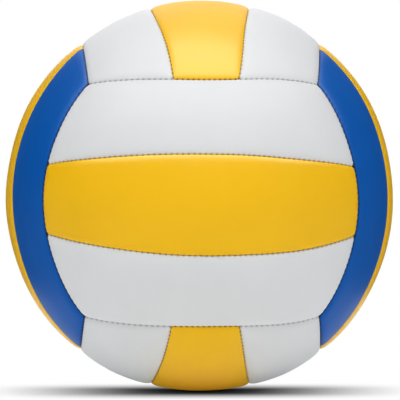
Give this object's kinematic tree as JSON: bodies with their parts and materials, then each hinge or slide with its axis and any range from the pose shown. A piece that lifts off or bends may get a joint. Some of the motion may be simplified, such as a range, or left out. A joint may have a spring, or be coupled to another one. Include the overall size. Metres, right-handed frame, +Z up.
{
  "type": "volleyball",
  "caption": "Inflated indoor ball of stitched leather strips over cloth linings and a rubber bladder, with a needle valve.",
  "frame": {"origin": "centre of the ball", "axes": "-Y is the middle of the front face, +Y the middle of the rear face with the valve, +Z is up"},
  "size_m": [0.21, 0.2099, 0.21],
  "materials": {
    "yellow_leather": "satin synthetic leather",
    "white_leather": "satin synthetic leather",
    "blue_leather": "satin synthetic leather",
    "lining_cloth": "plain woven cloth",
    "seam_thread": "waxed polyester thread",
    "bladder_rubber": "moulded rubber",
    "valve_rubber": "moulded rubber",
    "plug_rubber": "moulded rubber"
  },
  "bodies": {
    "root": {"front_upper_panel": "white_leather", "front_upper_lining": "lining_cloth", "front_centre_panel": "yellow_leather", "front_centre_lining": "lining_cloth", "front_lower_panel": "white_leather", "front_lower_lining": "lining_cloth", "rear_upper_panel": "white_leather", "rear_upper_lining": "lining_cloth", "rear_centre_panel": "yellow_leather", "rear_centre_lining": "lining_cloth", "rear_lower_panel": "white_leather", "rear_lower_lining": "lining_cloth", "top_left_panel": "white_leather", "top_left_lining": "lining_cloth", "top_centre_panel": "yellow_leather", "top_centre_lining": "lining_cloth", "top_right_panel": "white_leather", "top_right_lining": "lining_cloth", "bottom_left_panel": "white_leather", "bottom_left_lining": "lining_cloth", "bottom_centre_panel": "yellow_leather", "bottom_centre_lining": "lining_cloth", "bottom_right_panel": "white_leather", "bottom_right_lining": "lining_cloth", "left_front_panel": "blue_leather", "left_front_lining": "lining_cloth", "left_centre_panel": "yellow_leather", "left_centre_lining": "lining_cloth", "left_rear_panel": "blue_leather", "left_rear_lining": "lining_cloth", "right_front_panel": "blue_leather", "right_front_lining": "lining_cloth", "right_centre_panel": "yellow_leather", "right_centre_lining": "lining_cloth", "right_rear_panel": "blue_leather", "right_rear_lining": "lining_cloth", "front_strip_thread": "seam_thread", "front_edge_thread": "seam_thread", "rear_strip_thread": "seam_thread", "rear_edge_thread": "seam_thread", "top_strip_thread": "seam_thread", "top_edge_thread": "seam_thread", "bottom_strip_thread": "seam_thread", "bottom_edge_thread": "seam_thread", "left_strip_thread": "seam_thread", "left_edge_thread": "seam_thread", "right_strip_thread": "seam_thread", "right_edge_thread": "seam_thread", "bladder": "bladder_rubber", "valve_body": "valve_rubber", "valve_plug": "plug_rubber", "valve_patch": "lining_cloth"}
  },
  "joints": []
}
